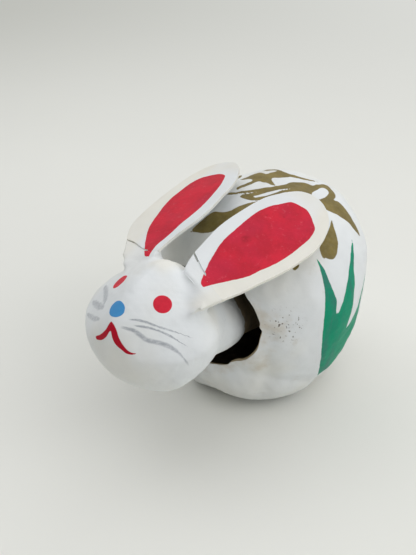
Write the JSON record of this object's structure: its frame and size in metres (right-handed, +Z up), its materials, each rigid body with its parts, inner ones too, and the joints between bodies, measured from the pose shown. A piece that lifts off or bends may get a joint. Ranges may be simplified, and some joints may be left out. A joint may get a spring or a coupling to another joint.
{
  "type": "nodding paper rabbit ornament",
  "caption": "Hollow papier-mache rabbit whose head hangs on a thread in the front opening of its body, so that it nods and sways.",
  "frame": {"origin": "on the surface that the rabbit rests on, under the middle of the whole rabbit, ears and head included", "axes": "+Z up, -Y the way the rabbit looks, +X its own left side"},
  "size_m": [0.1132, 0.166, 0.1134],
  "materials": {
    "painted_paper": "satin",
    "ear_board": "satin",
    "bare_paper": "matte",
    "bamboo": "satin",
    "thread": "matte",
    "clay": "matte"
  },
  "bodies": {
    "body": {"body_left_half": "painted_paper", "body_right_half": "painted_paper", "body_seam_strip": "bare_paper", "body_peg": "bamboo"},
    "thread": {"hanging_thread": "thread"},
    "head": {"head_shell": "painted_paper", "left_ear": "ear_board", "right_ear": "ear_board", "neck_peg": "bamboo", "neck_weight": "clay"}
  },
  "joints": [
    {"name": "head_sway", "type": "hinge", "parent": "body", "child": "thread", "pos_m": [0, -0.00975, 0.08445], "axis": [0, 0, 1], "range_deg": [-10, 10]},
    {"name": "head_nod", "type": "hinge", "parent": "thread", "child": "head", "pos_m": [0, -0.00975, 0.06402], "axis": [1, 0, 0], "range_deg": [-6, 12]}
  ]
}
